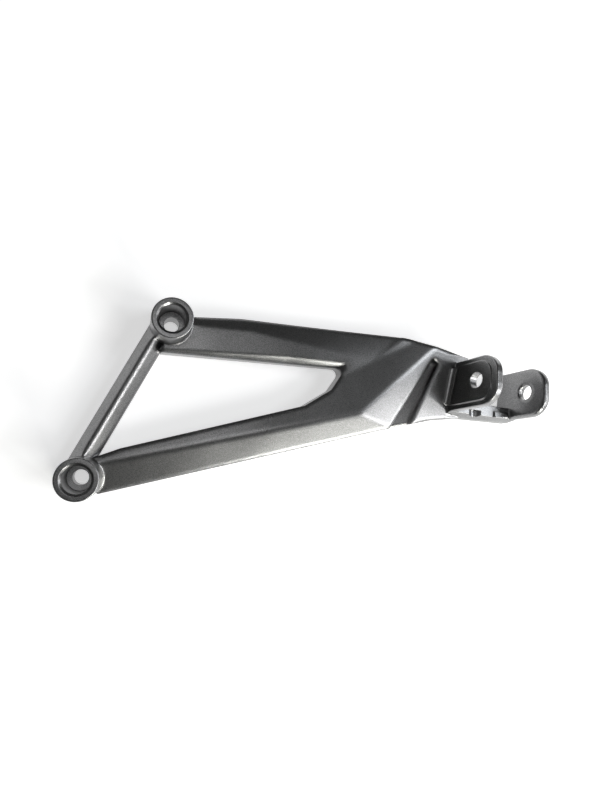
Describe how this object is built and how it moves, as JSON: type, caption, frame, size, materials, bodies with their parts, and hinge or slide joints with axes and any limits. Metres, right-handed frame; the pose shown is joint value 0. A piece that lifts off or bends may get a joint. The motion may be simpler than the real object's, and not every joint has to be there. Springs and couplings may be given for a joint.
{
  "type": "motorcycle footrest hanger",
  "caption": "Cast triangular hanger with two counterbored bolt bosses and a forked clevis that carries a folding footrest.",
  "frame": {"origin": "axis of the lower bolt hole, on the boss's rear face", "axes": "+Z out of the bolt bosses towards the rider's side, +X along the length to the footrest clevis, +Y towards the upper boss"},
  "size_m": [0.299, 0.1118, 0.0488],
  "materials": {
    "paint": "satin gunmetal paint over a fine cast surface"
  },
  "bodies": {
    "root": {"hanger": "paint"}
  },
  "joints": []
}
